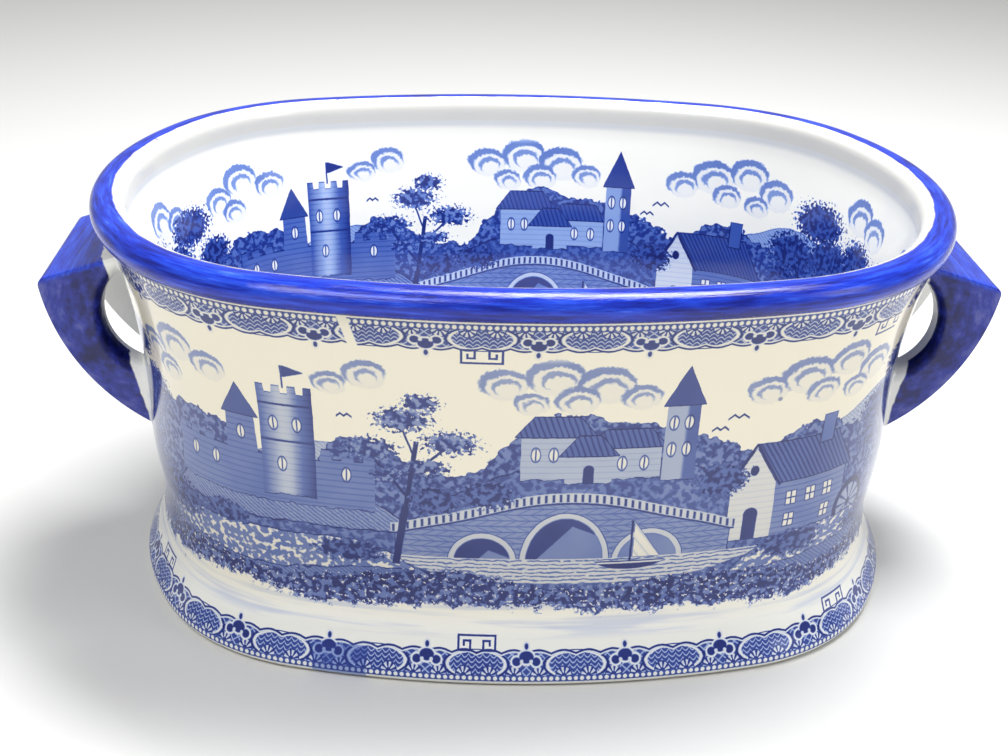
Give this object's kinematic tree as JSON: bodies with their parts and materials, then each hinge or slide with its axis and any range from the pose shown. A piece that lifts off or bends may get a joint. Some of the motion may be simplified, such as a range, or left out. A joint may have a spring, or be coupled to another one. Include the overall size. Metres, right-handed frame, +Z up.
{
  "type": "oval two-handled jardiniere",
  "caption": "Oval glazed earthenware jardiniere: a flared basin with a rolled rim, waisted foot and arched handles stuck on at the ends, printed in blue.",
  "frame": {"origin": "under the middle of the basin, on the plane that its foot ring stands on", "axes": "+X along the length from handle to handle, +Y across to the back, +Z up"},
  "size_m": [0.4748, 0.34, 0.204],
  "materials": {
    "printed_glaze": "clear gloss glaze over a blue print on an ivory body",
    "cobalt_glaze": "brushed cobalt under a clear gloss glaze",
    "slip_glaze": "plain white slip under a clear gloss glaze"
  },
  "bodies": {
    "root": {"vessel_body": "printed_glaze", "left_handle": "cobalt_glaze", "right_handle": "cobalt_glaze", "left_upper_slip_joint": "slip_glaze", "left_lower_slip_joint": "slip_glaze", "right_upper_slip_joint": "slip_glaze", "right_lower_slip_joint": "slip_glaze"}
  },
  "joints": []
}
